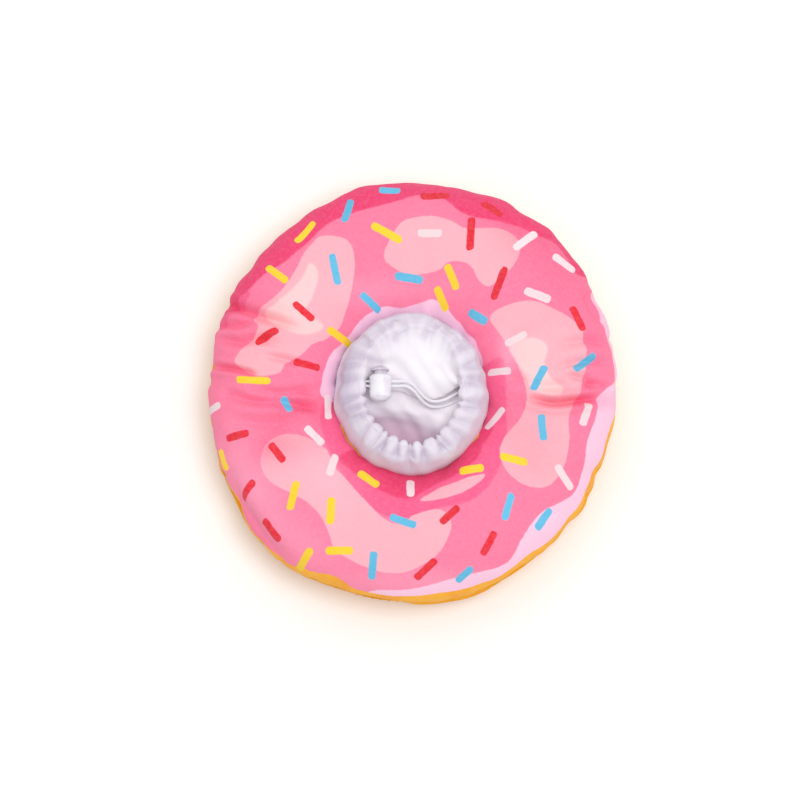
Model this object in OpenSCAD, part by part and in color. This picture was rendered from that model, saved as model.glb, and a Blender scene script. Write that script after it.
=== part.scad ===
// A soft recovery collar for a cat or a small dog: a stuffed ring that is printed as an
// iced ring cake, with a gathered white neck sleeve, a draw cord and a spring cord lock.
// The ring lies on its back panel on Z = 0, its iced front faces +Z, and X = Y = 0 is the
// middle of the neck opening. The two long sides of the ring are a few millimetres straight,
// which makes the collar slightly longer than it is wide.

/* [Stuffed ring] */
// Width of the collar across its two sides
collar_w = 280; // [272:2:300]
// Extra length of the collar from its near edge to its far edge
collar_extra = 10; // [8:1:20]
// Width of the ring from the neck hole to its outer edge
ring_w = 88; // [82:1:92]
// Thickness of the stuffed ring
ring_h = 60; // [56:1:64]
// Thickness of the printed cover cloth
cover_t = 1.5; // [1:0.1:2]
// Width of the seam allowance that is turned inside the ring
allowance_w = 7; // [5:0.5:9]
// Thickness of the two plies of a seam allowance
allowance_t = 2; // [1.6:0.2:3]

/* [Neck sleeve] */
// Height of the casing's middle above the ground
rim_z = 74; // [72:0.5:78]
// Radius of the casing's middle line round the neck opening
rim_r = 34.5; // [33:0.5:36]
// Outer radius of the casing that the draw cord runs in
casing_r = 4.2; // [4:0.1:4.6]
// Thickness of the sleeve cloth and of its lining
sleeve_t = 1; // [0.8:0.1:1.2]

/* [Draw cord] */
// Diameter of the draw cord
cord_d = 2.2; // [2:0.1:2.4]
// Distance between the two free ends where they leave the casing
cord_gap = 3.2; // [3.1:0.1:3.4]
// Place of the pair of ends along Y
cord_y = -2; // [-3:0.5:0]
// Radius of the knots in the two free ends
knot_r = 2.5; // [2.2:0.1:2.8]

/* [Cord lock] */
// Place of the lock along X, at rest against the casing
lock_x = -22; // [-22:0.5:-19]
// Largest radius of the lock's barrel
lock_r = 7.3; // [7:0.1:7.6]
// How far the plunger travels
press = 2.5; // [2:0.1:3]
// Radius of the plunger's stem
stem_r = 4.05; // [3.95:0.01:4.07]
// Radius of the plunger's domed head
head_r = 5.8; // [5:0.1:6.2]
// Clearance of the cords in the lock's windows
window_gap = 0.4; // [0.3:0.05:0.5]
// Number of coils of the lock's spring
spring_turns = 3; // [3:1:4]

/* [Hidden] */
$fn = 96;

mid_z = ring_h / 2;
mid_r = collar_w / 2 - ring_w / 2;
hole_r = collar_w / 2 - ring_w;
side_gap = ring_w - ring_h;
cord_r = cord_d / 2;
channel_r = casing_r - 1.2;
thread_r = 0.5;
stitch_h = 3.6;

// The two cloth arcs of the sleeve run from the hole seam up to the casing.
seam_z = mid_z + allowance_t / 2;
outer_foot = [hole_r, seam_z];
outer_top = [rim_r + 3, rim_z - 3];
lining_foot = [hole_r - sleeve_t - 0.1, seam_z];
lining_top = [rim_r - 1.3, rim_z - 3.8];
bulge_z = mid_z + 4;

// The cord leaves the casing round a bend of two diameters, and crosses the opening.
bend_r = 2 * cord_d;
wall_x = -rim_r + bend_r;
far_y = cord_y + cord_gap / 2;
near_y = cord_y - cord_gap / 2;
eyelet_r = cord_gap / 2 - 0.1;
eyelet_bore = cord_r + 0.05;
eyelet_len = 1.8;

// Heights along the lock's own axis, from the plane midway between the two cords.
window_h = cord_gap / 2 + cord_r + window_gap;
window_w = cord_r + window_gap;
shoulder = -window_h - 0.8;
foot_top = shoulder - 0.1;
foot_t = 1.5;
spring_solid = 1.6;
bore_floor = foot_top - foot_t - press - spring_solid;
barrel_foot = bore_floor - 1.8;
barrel_top = window_h + press + 0.4;
head_z = barrel_top + press + 0.2;
head_t = 3.5;
foot_bore_r = stem_r + 0.85;
foot_r = stem_r + 0.45;
stem_bore_r = stem_r + 0.05;
mouth_r = stem_r + 1.55;
foot_ball_r = 9;
foot_ball_z = 8;
wire_r = 0.3;
coil_r = 3.4;

// Free ends: the routes beyond the straight stretch that the lock slides along.
slide_end = -4;
far_fall = [[0, -1.9, 73.1], [4, -5.2, 70.7], [8, -8.6, 67.5], [12, -10.8, 65], [17, -11.4, 63.6],
    [22, -10, 62.9], [27, -7.4, 62.6], [32, -4.6, 62.5]];
near_fall = [[0, -5.3, 72.8], [4, -8.9, 70], [8, -12.4, 66.5], [12, -14.5, 63.8], [17, -15.2, 61.9],
    [22, -14, 61], [27, -12, 60.6], [32, -10.2, 60.5]];
far_knot = [34, -3.4, 62.5];
near_knot = [34.2, -9.4, 60.5];

// ---- Helpers ----

// A profile in the plane of radius and height, taken once round the ring.
module ring() {
    for (turn = [0, 180])
        rotate(turn)
            translate([0, collar_extra / 2, 0])
                rotate_extrude(angle = 180) children();
    for (turn = [0, 180])
        rotate(turn)
            rotate([90, 0, 0])
                linear_extrude(collar_extra, center = true) children();
}

// The section of the stuffed ring: a flat band between two half-circles, drawn in by a distance.
module section(inset) {
    r = mid_z - inset;
    translate([mid_r - side_gap / 2, mid_z]) circle(r);
    translate([mid_r + side_gap / 2, mid_z]) circle(r);
    translate([mid_r - side_gap / 2, inset]) square([side_gap, 2 * r]);
}

module half_section(z) {
    difference() {
        section(0);
        section(cover_t);
        translate([0, z]) square([collar_w, ring_h]);
    }
}

// Where an arc through p and q, with its centre at height z, has its centre along the radius.
function arc_x(p, q, z) = (p.x ^ 2 - q.x ^ 2 + (p.y - z) ^ 2 - (q.y - z) ^ 2) / (2 * (p.x - q.x));

module cloth_arc(p, q) {
    z = bulge_z;
    x = arc_x(p, q, z);
    r = norm([p.x - x, p.y - z]);
    difference() {
        intersection() {
            translate([x, z]) circle(r);
            translate([x, p.y]) square([r + 1, q.y - p.y]);
        }
        translate([x, z]) circle(r - sleeve_t);
        translate([rim_r, rim_z]) circle(casing_r);
    }
}

// A round tube swept along points: a ring of sides at each, square to the line.
function along(p, i) = let (n = len(p) - 1, v = p[min(i + 1, n)] - p[max(i - 1, 0)]) v / norm(v);
function ring_points(p, i, r, sides, up) =
    let (d = along(p, i), s = cross(up, d) / norm(cross(up, d)), u = cross(d, s))
    [for (k = [0:sides - 1]) p[i] + r * (cos(360 * k / sides) * s + sin(360 * k / sides) * u)];

module tube(p, r, sides = 8, up = [0, 0, 1]) {
    n = len(p);
    points = [for (i = [0:n - 1]) each ring_points(p, i, r, sides, up)];
    walls = [for (i = [0:n - 2], k = [0:sides - 1])
        let (a = i * sides + k, b = i * sides + (k + 1) % sides) [a, a + sides, b + sides, b]];
    start = [for (k = [0:sides - 1]) k];
    finish = [for (k = [sides - 1:-1:0]) (n - 1) * sides + k];
    polyhedron(points, concat([start], walls, [finish]));
}

// The route of a free end: round the bend inside the casing, straight across, then down.
function route(y, side, fall) = concat(
    [[-rim_r, y + side * (bend_r + 0.1), rim_z]],
    [for (a = [0:15:90]) [wall_x - bend_r * cos(a), y + side * bend_r * (1 - sin(a)), rim_z]],
    [for (x = [-25:5:-10]) [x, y, rim_z]],
    [[slide_end, y, rim_z]],
    fall);

// Places a part drawn along the lock's axis: its own +Z becomes the collar's +Y.
module lock_frame() {
    translate([lock_x, cord_y, rim_z]) rotate([-90, 0, 0]) children();
}

// ---- The stuffed ring ----

module front_cover() {
    color("hotpink") ring() difference() {
        half_section(ring_h);
        square([collar_w, mid_z]);
    }
}

module back_cover() {
    color("orange") ring() half_section(mid_z);
}

module fibre_filling() {
    color("whitesmoke") ring() difference() {
        section(cover_t);
        translate([hole_r + cover_t, mid_z - allowance_t / 2]) square([allowance_w, allowance_t]);
        translate([collar_w / 2 - cover_t - allowance_w, mid_z - allowance_t / 2])
            square([allowance_w, allowance_t]);
    }
}

// The cut edges of the two covers, sewn together and turned inside at the outer edge.
module outer_seam_allowance() {
    color("gold") ring()
        translate([collar_w / 2 - cover_t - allowance_w, mid_z - allowance_t / 2])
            square([allowance_w - 0.1, allowance_t]);
}

// The cut edges of the covers and the sleeve, turned inside round the neck hole.
module hole_seam_allowance() {
    color("white") ring()
        translate([hole_r + cover_t + 0.1, mid_z - allowance_t / 2])
            square([allowance_w - 0.1, allowance_t]);
}

// A row of hand stitches closes the gap that the ring was stuffed through.
module closing_stitches() {
    color("gold")
        for (step = [-7:7])
            translate([0, -collar_extra / 2, mid_z - stitch_h / 2])
                rotate(-90 + 2.2 * step)
                    translate([collar_w / 2 - thread_r, 0, 0]) cylinder(h = stitch_h, r = thread_r);
}

// ---- The neck sleeve ----

module neck_sleeve() {
    color("white") ring() cloth_arc(outer_foot, outer_top);
}

module sleeve_lining() {
    color("ghostwhite") ring() cloth_arc(lining_foot, lining_top);
}

module eyelet_places() {
    for (y = [near_y, far_y])
        translate([wall_x - eyelet_len + 0.3, y, rim_z]) rotate([0, 90, 0]) children();
}

// The hem of the sleeve, folded over and sewn down as a channel for the cord.
module cord_casing() {
    color("white") difference() {
        ring() translate([rim_r, rim_z]) difference() {
            circle(casing_r);
            circle(channel_r);
        }
        eyelet_places() translate([0, 0, -1]) cylinder(h = 4, r = eyelet_r);
    }
}

// The line of thread that holds the casing closed, at its foot.
module casing_stitches() {
    color("lavender") ring() translate([rim_r + 0.9, rim_z - casing_r - thread_r + 0.1]) circle(thread_r);
}

module cord_eyelets() {
    color("silver") eyelet_places() difference() {
        cylinder(h = eyelet_len, r = eyelet_r);
        translate([0, 0, -1]) cylinder(h = eyelet_len + 2, r = eyelet_bore);
    }
}

// ---- The draw cord ----

module draw_cord() {
    low = near_y - bend_r - 0.2;
    high = far_y + bend_r + 0.2;
    color("snow") difference() {
        ring() translate([rim_r, rim_z]) circle(cord_r);
        translate([-collar_w / 2, low, 0]) cube([collar_w / 2 - 20, high - low, 2 * rim_z]);
    }
}

module far_cord_end() {
    color("snow") tube(route(far_y, 1, far_fall), cord_r);
}

module near_cord_end() {
    color("snow") tube(route(near_y, -1, near_fall), cord_r);
}

module cord_knots() {
    color("snow") for (place = [far_knot, near_knot]) translate(place) sphere(knot_r);
}

// ---- The cord lock ----

module window(low, high) {
    translate([-15, -window_w, low]) cube([30, 2 * window_w, high - low]);
}

module lock_barrel() {
    length = barrel_top - barrel_foot;
    color("white") lock_frame() difference() {
        intersection() {
            translate([0, 0, barrel_foot]) cylinder(h = length, r = lock_r);
            translate([0, 0, barrel_foot + length / 2]) sphere(norm([length / 2, mouth_r]));
            translate([0, 0, barrel_foot + foot_ball_z]) union() {
                sphere(foot_ball_r);
                cylinder(h = length, r = lock_r + 1);
            }
        }
        translate([0, 0, bore_floor]) cylinder(h = shoulder - bore_floor, r = foot_bore_r);
        translate([0, 0, shoulder - 1]) cylinder(h = length, r = stem_bore_r);
        window(-window_h, window_h);
    }
}

module lock_plunger() {
    dome_r = 1.3 * head_r;
    color("gainsboro") lock_frame() difference() {
        union() {
            translate([0, 0, foot_top - foot_t]) cylinder(h = foot_t, r = foot_r);
            translate([0, 0, foot_top - 0.5]) cylinder(h = head_z - foot_top + 1, r = stem_r);
            intersection() {
                translate([0, 0, head_z]) cylinder(h = head_t, r = head_r);
                translate([0, 0, head_z + head_t - dome_r]) sphere(dome_r);
            }
        }
        window(-window_h, window_h + press);
    }
}

// A small coil between the floor of the barrel and the plunger's foot.
module lock_spring() {
    low = bore_floor + wire_r + 0.02;
    high = foot_top - foot_t - wire_r - 0.02;
    steps = 20 * spring_turns;
    coil = [for (i = [0:steps])
        [coil_r * cos(18 * i), coil_r * sin(18 * i), low + (high - low) * i / steps]];
    color("silver") lock_frame() tube(coil, wire_r, sides = 6);
}

front_cover();
back_cover();
fibre_filling();
outer_seam_allowance();
hole_seam_allowance();
closing_stitches();
neck_sleeve();
sleeve_lining();
cord_casing();
casing_stitches();
cord_eyelets();
draw_cord();
far_cord_end();
near_cord_end();
cord_knots();
lock_barrel();
lock_plunger();
lock_spring();
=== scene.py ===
"""A soft recovery collar: a stuffed ring printed as an iced ring cake, with a gathered white neck sleeve,
a draw cord and a spring cord lock. Lengths inside the functions are millimetres in the collar's own frame,
and one scale at the mesh makes them metres. Angles run anticlockwise from +X, seen from above."""

import functools
import math

import bmesh
import bpy
import numpy as np
from mathutils import Matrix, Vector


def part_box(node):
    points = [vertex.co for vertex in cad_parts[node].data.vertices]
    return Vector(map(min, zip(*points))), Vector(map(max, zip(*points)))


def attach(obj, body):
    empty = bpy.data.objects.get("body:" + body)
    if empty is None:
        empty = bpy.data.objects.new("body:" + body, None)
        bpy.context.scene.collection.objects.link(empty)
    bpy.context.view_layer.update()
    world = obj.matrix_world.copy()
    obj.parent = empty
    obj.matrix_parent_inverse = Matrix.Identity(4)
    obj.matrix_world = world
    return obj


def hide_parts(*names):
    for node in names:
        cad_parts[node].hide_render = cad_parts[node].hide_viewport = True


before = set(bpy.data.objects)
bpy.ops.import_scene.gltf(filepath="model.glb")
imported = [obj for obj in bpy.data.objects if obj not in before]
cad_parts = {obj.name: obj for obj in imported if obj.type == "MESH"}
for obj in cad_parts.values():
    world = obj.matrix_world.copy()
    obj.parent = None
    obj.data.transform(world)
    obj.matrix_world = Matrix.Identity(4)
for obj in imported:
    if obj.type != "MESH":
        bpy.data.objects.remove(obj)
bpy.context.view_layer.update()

MM = 0.001
TURN = 2 * np.pi

# ---- Driving sizes, from the frame ----

NODE_BOX = {name: np.array(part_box(name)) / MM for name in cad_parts}
COLLAR_W = float(np.ptp(NODE_BOX["front_cover"][:, 0]))
SEAM_Z = float(NODE_BOX["back_cover"][1][2])
HOLE_W = float(np.ptp(NODE_BOX["neck_sleeve"][:, 0]))
RIM_Z = float(NODE_BOX["cord_casing"].mean(axis=0)[2])
CORD_D = float(np.ptp(NODE_BOX["draw_cord"][:, 2]))
RING_W = (COLLAR_W - HOLE_W) / 2
CROWN_R = (COLLAR_W + HOLE_W) / 4


# ---- Helpers: colour, noise and meshes ----

def srgb(red, green, blue):
    """A screen colour, 0 to 255, as the linear colour that shaders take."""
    c = np.array([red, green, blue]) / 255
    return tuple(np.where(c <= 0.04045, c / 12.92, ((c + 0.055) / 1.055) ** 2.4))


def smooth(x, low, high):
    """0 below low, 1 above high, and an S-curve between them."""
    t = np.clip((x - low) / (high - low), 0, 1)
    return t * t * (3 - 2 * t)


def wrapped(angle):
    """The same angle between -pi and pi."""
    return (angle + np.pi) % TURN - np.pi


def ripple(angle, along, seed, waves, most, drift):
    """Noise that closes on itself round the ring: a sum of cosines of the angle with whole numbers of waves
    up to most, each with a random phase and a random drift with the second parameter, scaled to about 1."""
    draw = np.random.default_rng(seed)
    total = np.zeros(np.broadcast(angle, along).shape)
    for _ in range(waves):
        count = draw.integers(1, most + 1)
        total += np.cos(count * angle + draw.uniform(-drift, drift) * along + draw.uniform(0, TURN))
    return total / math.sqrt(waves / 2)


def through(points, steps, closed=False):
    """A Catmull-Rom curve through points, with that many steps between each pair."""
    p = np.asarray(points, float)
    ends = (p[-1:], p[:2]) if closed else (2 * p[:1] - p[1:2], 2 * p[-1:] - p[-2:-1])
    q = np.concatenate([ends[0], p, ends[1]])
    t = (np.arange(steps) / steps)[None, :, None]
    a, b, c, d = (q[i : len(q) - 3 + i][:, None] for i in range(4))
    shape = 0.5 * (2 * b + (c - a) * t + (2 * a - 5 * b + 4 * c - d) * t**2 + (3 * b - a - 3 * c + d) * t**3)
    curve = shape.reshape(-1, p.shape[1])
    return curve if closed else np.concatenate([curve, p[-1:]])


def eased(places, values, at):
    """Values between given places, eased from one to the next by cosines."""
    places, values = np.asarray(places, float), np.asarray(values, float)
    k = np.clip(np.searchsorted(places, at) - 1, 0, len(places) - 2)
    t = np.clip((at - places[k]) / (places[k + 1] - places[k]), 0, 1)
    return values[k] + (values[k + 1] - values[k]) * (1 - np.cos(np.pi * t)) / 2


def polar(r, angle, z=None):
    """Points at radii and angles of the plan, with a height where one is given."""
    flat = [r * np.cos(angle), r * np.sin(angle)]
    return np.stack(flat if z is None else [*flat, z + 0 * flat[0]], axis=-1)


def add(name, data):
    made = bpy.data.objects.new(name, data)
    bpy.context.scene.collection.objects.link(made)
    return made


def new_piece(name):
    piece = add(name, bpy.data.meshes.new(name))
    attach(piece, "collar")
    return piece


def fill_mesh(mesh, points, faces, uvs=None):
    """Puts points in millimetres and faces of four corners into a mesh, smooth-shaded."""
    mesh.vertices.add(len(points))
    mesh.vertices.foreach_set("co", (np.asarray(points) * MM).astype(np.float32).ravel())
    mesh.loops.add(faces.size)
    mesh.loops.foreach_set("vertex_index", faces.astype(np.int32).ravel())
    mesh.polygons.add(len(faces))
    mesh.polygons.foreach_set("loop_start", np.arange(0, faces.size, 4, dtype=np.int32))
    mesh.polygons.foreach_set("use_smooth", np.ones(len(faces), bool))
    if uvs is not None:
        layer = mesh.uv_layers.new(name="Weave")
        layer.data.foreach_set("uv", uvs.astype(np.float32).ravel())
    mesh.update(calc_edges=True)
    mesh.validate()


def grid_faces(rows, columns, round_rows, round_columns):
    """Faces between the rows and columns of a grid, and the row and column at each face's corners."""
    i, j = np.meshgrid(
        np.arange(rows if round_rows else rows - 1),
        np.arange(columns if round_columns else columns - 1),
        indexing="ij",
    )
    i, j = i.ravel(), j.ravel()
    near, far = (i + 1) % rows, (j + 1) % columns
    faces = np.stack([i * columns + j, near * columns + j, near * columns + far, i * columns + far], axis=1)
    corners = np.stack([i, j, i + 1, j, i + 1, j + 1, i, j + 1], axis=1).reshape(-1, 4, 2)
    return faces, corners


def grid_piece(name, points, round_rows=True, round_columns=False, flip=False, weave=(1, 1)):
    """A piece from an array of points (row, column, 3). The UV map counts millimetres along both ways."""
    rows, columns = points.shape[:2]
    faces, corners = grid_faces(rows, columns, round_rows, round_columns)
    if flip:
        faces, corners = faces[:, ::-1], corners[:, ::-1]
    piece = new_piece(name)
    fill_mesh(piece.data, points.reshape(-1, 3), faces, corners * np.array(weave))
    return piece


def attribute(piece, name, values):
    """Stores a number, or a colour of three numbers, for every point of the piece."""
    count = len(piece.data.vertices)
    values = np.asarray(values, np.float32)
    if values.size == 3 * count:
        layer = piece.data.color_attributes.new(name, "FLOAT_COLOR", "POINT")
        layer.data.foreach_set("color", np.c_[values.reshape(-1, 3), np.ones(count, np.float32)].ravel())
    else:
        layer = piece.data.attributes.new(name, "FLOAT", "POINT")
        layer.data.foreach_set("value", values.ravel())


def normals_of(points, round_rows=True):
    """Unit normals of a grid, from the cross product of its two directions."""
    if round_rows:
        along = np.roll(points, -1, axis=0) - np.roll(points, 1, axis=0)
    else:
        along = np.gradient(points, axis=0)
    normal = np.cross(along, np.gradient(points, axis=1))
    return normal / np.maximum(np.linalg.norm(normal, axis=2, keepdims=True), 1e-9)


def solidify(piece, thickness, offset=-1):
    """Gives a cloth its thickness: behind its surface, or half on each side with no offset."""
    wall = piece.modifiers.new("Cloth thickness", "SOLIDIFY")
    wall.thickness = thickness * MM
    wall.offset = offset


def tube_points(path, radius, sides, up=(0, 0, 1)):
    """Rings of points round a path: each ring stands square to the path's direction there."""
    path = np.asarray(path, float)
    along = np.gradient(path, axis=0)
    along /= np.linalg.norm(along, axis=1, keepdims=True)
    side = np.cross(np.array(up, float), along)
    side /= np.linalg.norm(side, axis=1, keepdims=True)
    around = polar(radius, TURN * np.arange(sides) / sides)[None]
    return path[:, None] + around[..., :1] * side[:, None] + around[..., 1:] * np.cross(along, side)[:, None]


# ---- Materials ----

class Shader:
    """A node material being wired: each method adds nodes and returns an output socket. Patterns lie on the
    object's own coordinates, and threads on the map of the weave, which counts millimetres."""

    def __init__(self, name):
        self.material = bpy.data.materials.new(name)
        self.material.use_nodes = True
        self.tree = self.material.node_tree
        self.surface = self.tree.nodes["Principled BSDF"]

    def put(self, socket, value):
        if isinstance(value, bpy.types.NodeSocket):
            self.tree.links.new(value, socket)
        elif isinstance(value, tuple) and len(value) == 3 and socket.type == "RGBA":
            socket.default_value = (*value, 1)
        else:
            socket.default_value = value

    def node(self, kind, inputs=None, **settings):
        """A node with some inputs set or linked, by name or number."""
        made = self.tree.nodes.new(kind)
        for key, value in settings.items():
            setattr(made, key, value)
        for key, value in (inputs or {}).items():
            self.put(made.inputs[key], value)
        return made

    @functools.cached_property
    def place(self):
        return self.node("ShaderNodeTexCoord").outputs["Object"]

    @functools.cached_property
    def weave(self):
        return self.node("ShaderNodeUVMap", uv_map="Weave").outputs[0]

    def math(self, operation, a, b=0.0):
        return self.node("ShaderNodeMath", {0: a, 1: b}, operation=operation).outputs[0]

    def mix(self, factor, a, b):
        return self.node("ShaderNodeMix", {0: factor, 6: a, 7: b}, data_type="RGBA").outputs[2]

    def between(self, value, low, high, out_low=0.0, out_high=1.0):
        amounts = dict(enumerate((value, low, high, out_low, out_high)))
        return self.node("ShaderNodeMapRange", amounts, interpolation_type="SMOOTHSTEP").outputs[0]

    def stored(self, name, output="Fac"):
        return self.node("ShaderNodeAttribute", attribute_name=name).outputs[output]

    def noise(self, scale, detail=2.0, roughness=0.5):
        amounts = {"Vector": self.place, "Scale": scale, "Detail": detail, "Roughness": roughness}
        return self.node("ShaderNodeTexNoise", amounts).outputs["Fac"]

    def patches(self, scale, detail, a, b, low=0.35, high=0.7):
        """Two colours in soft patches."""
        return self.mix(self.between(self.noise(scale, detail), low, high), a, b)

    def grain(self, scale, low, high):
        """A roughness that varies between two values."""
        return self.between(self.noise(scale), 0.3, 0.7, low, high)

    def waves(self, direction, spacing, **more):
        """Parallel strands, that far apart in millimetres of the weave's map."""
        amounts = {"Vector": self.weave, "Scale": TURN / 20 / spacing, **more}
        return self.node("ShaderNodeTexWave", amounts, bands_direction=direction).outputs["Fac"]

    def threads(self, spacing):
        """Two crossed sets of threads: a plain weave's height."""
        uneven = {"Distortion": 0.6, "Detail Scale": 1.5}
        return self.math("MAXIMUM", *(self.waves(way, spacing, **uneven) for way in ("X", "Y")))

    def between_threads(self, colour, spacing, share, tint):
        """A colour with some of a tint in the gaps of the weave."""
        return self.mix(self.between(self.threads(spacing), 0.2, 0.9, share, 0.0), colour, tint)

    def bump(self, height, strength, distance, under=None):
        amounts = {"Height": height, "Strength": strength, "Distance": distance * MM}
        if under is not None:
            amounts["Normal"] = under
        return self.node("ShaderNodeBump", amounts).outputs[0]

    def finish(self, colour, roughness, normal=None, **fixed):
        self.put(self.surface.inputs["Base Color"], colour)
        self.put(self.surface.inputs["Roughness"], roughness)
        if normal is not None:
            self.put(self.surface.inputs["Normal"], normal)
        for key, value in fixed.items():
            self.put(self.surface.inputs[key.replace("_", " ")], value)
        return self.material


PILE_WEAVE, SMOOTH_WEAVE = 0.55, 0.4  # the threads' spacing in the ring's cloth and in the white cloth


def soft_cloth_normal(s):
    """Short soft pile over a plain weave: crumpled at about 9 mm, fuzzy at about 1 mm, threads below that."""
    crumple = s.bump(s.noise(110.0, 3.0), 0.3, 1.4)
    fuzz = s.bump(s.noise(900.0), 0.2, 0.2, crumple)
    return s.bump(s.threads(PILE_WEAVE), 0.2, 0.1, fuzz)


SPRINKLE_COLOURS = {
    "blue": srgb(92, 190, 228),
    "red": srgb(233, 32, 52),
    "yellow": srgb(255, 214, 36),
    "white": srgb(246, 222, 226),
}
ICING = srgb(254, 124, 160)
DEEP_ICING = srgb(238, 58, 112)
MID_ICING = srgb(250, 94, 142)
PALE_ICING = srgb(253, 202, 226)
GLAZE = srgb(255, 176, 188)
BRIGHT_GLAZE = srgb(255, 205, 206)
DOUGH = srgb(255, 180, 26)
DARK_DOUGH = srgb(250, 164, 16)


def iced_print():
    """The front panel's print, from signed distances stored on the cloth: each colour has a crisp edge where
    its distance crosses zero. Soft darker and lighter spots lie over all of them: partly the print's own tone,
    partly painted shade along the creases and painted light where the ring lies in shade. The cloth's own
    mottling and its weave lie over them too."""
    s = Shader("Iced print")
    wobble = s.math("MULTIPLY", s.math("SUBTRACT", s.noise(260.0, 3.0), 0.5), 0.9)

    def inside(name, edge=0.5):
        return s.between(s.math("ADD", s.stored(name), wobble), -edge, edge)

    colour = ICING
    for name, edge, tint in (
        ("mid_icing", 1.2, MID_ICING), ("deep_icing", 1.0, DEEP_ICING), ("pale_icing", 0.5, PALE_ICING),
        ("glaze", 0.5, GLAZE), ("bright_glaze", 1.2, BRIGHT_GLAZE),
    ):
        colour = s.mix(inside(name, edge), colour, tint)
    # Soft spots, partly print tone and partly painted: painted shade along the creases, painted light where the ring
    # lies in shade.
    colour = s.mix(s.stored("shade"), colour, DEEP_ICING)
    colour = s.mix(s.stored("glow"), colour, PALE_ICING)
    colour = s.mix(inside("dough"), colour, s.patches(60.0, 4.0, DOUGH, DARK_DOUGH, 0.4))
    colour = s.mix(inside("sprinkle", 0.35), colour, s.stored("sprinkle_colour", "Color"))
    mottle = s.between(s.noise(420.0, 4.0), 0.3, 0.75, 0.0, 0.05)
    colour = s.mix(mottle, colour, srgb(255, 235, 240))
    colour = s.between_threads(colour, PILE_WEAVE, 0.10, srgb(150, 20, 60))
    return s.finish(colour, s.grain(300.0, 0.78, 0.95), soft_cloth_normal(s), Sheen_Weight=0.06, Sheen_Roughness=0.5)


def dough_print():
    s = Shader("Dough print")
    toast = s.between(s.noise(40.0, 5.0, 0.6), 0.35, 0.7)
    crumb = s.between(s.noise(500.0, 3.0), 0.35, 0.8, 0.0, 0.10)
    colour = s.mix(crumb, s.mix(toast, DOUGH, DARK_DOUGH), srgb(255, 214, 130))
    colour = s.between_threads(colour, PILE_WEAVE, 0.12, srgb(150, 80, 10))
    return s.finish(colour, s.grain(300.0, 0.78, 0.95), soft_cloth_normal(s), Specular_IOR_Level=0.15)


# Bright, dim and low colours, then how much of the low one, and the heights in metres it comes in between.
# The low colour is painted light: on the outer ply a painted cool tint that offsets the pink light the ring
# reflects onto it, and on the lining a painted mauve shade with the ring's pink reflected light in it.
OUTER_WHITE = (srgb(230, 222, 232), srgb(222, 212, 226), srgb(226, 242, 250), 1.0, 0.074, 0.056)
LINING_WHITE = (srgb(246, 241, 246), srgb(241, 234, 242), srgb(184, 122, 158), 0.85, 0.061, 0.041)
# Painted shade: the grey that the white cloth takes in its folds and pleats.
PAINTED_FOLD_SHADE = srgb(186, 172, 196)


def white_cloth(name, bright, dim, low, painted_low_share, high_z, low_z):
    """Thin smooth white cloth, greyed by painted shade in its folds. Low down its colour changes: the lining takes
    a painted mauve shade with the ring's pink reflected light, the outer ply a painted cool tint that offsets
    that pink light, and the part of the lining that shows outside has the outer ply's white."""
    s = Shader(name)
    height = s.node("ShaderNodeSeparateXYZ", {0: s.place}).outputs[2]
    colour = s.mix(s.stored("outer"), s.patches(70.0, 3.0, bright, dim), OUTER_WHITE[0])
    # Painted shade in the folds, from the stored fold attribute.
    colour = s.mix(s.math("MULTIPLY", s.stored("fold"), 0.5), colour, PAINTED_FOLD_SHADE)
    # Painted light low down: mauve shade with the ring's pink reflected light on the lining, a cool offset to it on the
    # outer ply.
    colour = s.mix(s.between(height, high_z, low_z, 0.0, painted_low_share), colour, low)
    colour = s.between_threads(colour, SMOOTH_WEAVE, 0.10, srgb(168, 150, 190))
    crumple = s.bump(s.noise(170.0), 0.25, 0.7)
    normal = s.bump(s.threads(SMOOTH_WEAVE), 0.25, 0.08, crumple)
    return s.finish(colour, s.grain(400.0, 0.5, 0.7), normal, Sheen_Weight=0.1, Sheen_Roughness=0.35)


def braid(name, tint):
    """Braided cord: two sets of slanting strands crossing round it."""
    s = Shader(name)
    strands = []
    for turn in (0.7, -0.7):
        mapped = s.node("ShaderNodeMapping", {0: s.weave, "Rotation": (0, 0, turn)})
        strands.append(s.waves("X", 0.8, Vector=mapped.outputs[0]))
    height = s.math("MAXIMUM", *strands)
    colour = s.mix(s.between(height, 0.4, 0.9, 0.45, 0.0), tint, srgb(186, 172, 192))
    fuzz = s.bump(s.noise(1500.0), 0.3, 0.1)
    return s.finish(colour, s.grain(500.0, 0.6, 0.8), s.bump(height, 0.6, 0.25, fuzz))


def thread_material(name, tint, shade):
    s = Shader(name)
    twist = s.node("ShaderNodeTexWave", {"Vector": s.place, "Scale": 700.0}, bands_direction="DIAGONAL").outputs["Fac"]
    colour = s.mix(s.between(twist, 0.2, 0.8, 0.0, 0.5), tint, shade)
    return s.finish(colour, s.grain(900.0, 0.45, 0.7), s.bump(twist, 0.4, 0.1))


def fibre_material():
    s = Shader("Polyester fibre")
    tuft = s.noise(240.0, 6.0, 0.7)
    colour = s.mix(s.between(tuft, 0.35, 0.65), srgb(225, 222, 226), srgb(252, 252, 252))
    return s.finish(colour, s.between(tuft, 0.3, 0.7, 0.85, 1.0), s.bump(tuft, 0.8, 2.0), Sheen_Weight=0.4)


def moulded(name, tint, shade):
    """Moulded plastic: faint mottling, a fine satin grain and small scuffs."""
    s = Shader(name)
    colour = s.patches(180.0, 3.0, tint, shade)
    scuff = s.between(s.noise(700.0, 4.0, 0.7), 0.45, 0.75)
    rough = s.between(scuff, 0.0, 1.0, 0.28, 0.5)
    satin = s.bump(s.noise(1600.0), 0.15, 0.05)
    return s.finish(colour, rough, satin, Subsurface_Weight=0.15, Subsurface_Scale=0.003)


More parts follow.
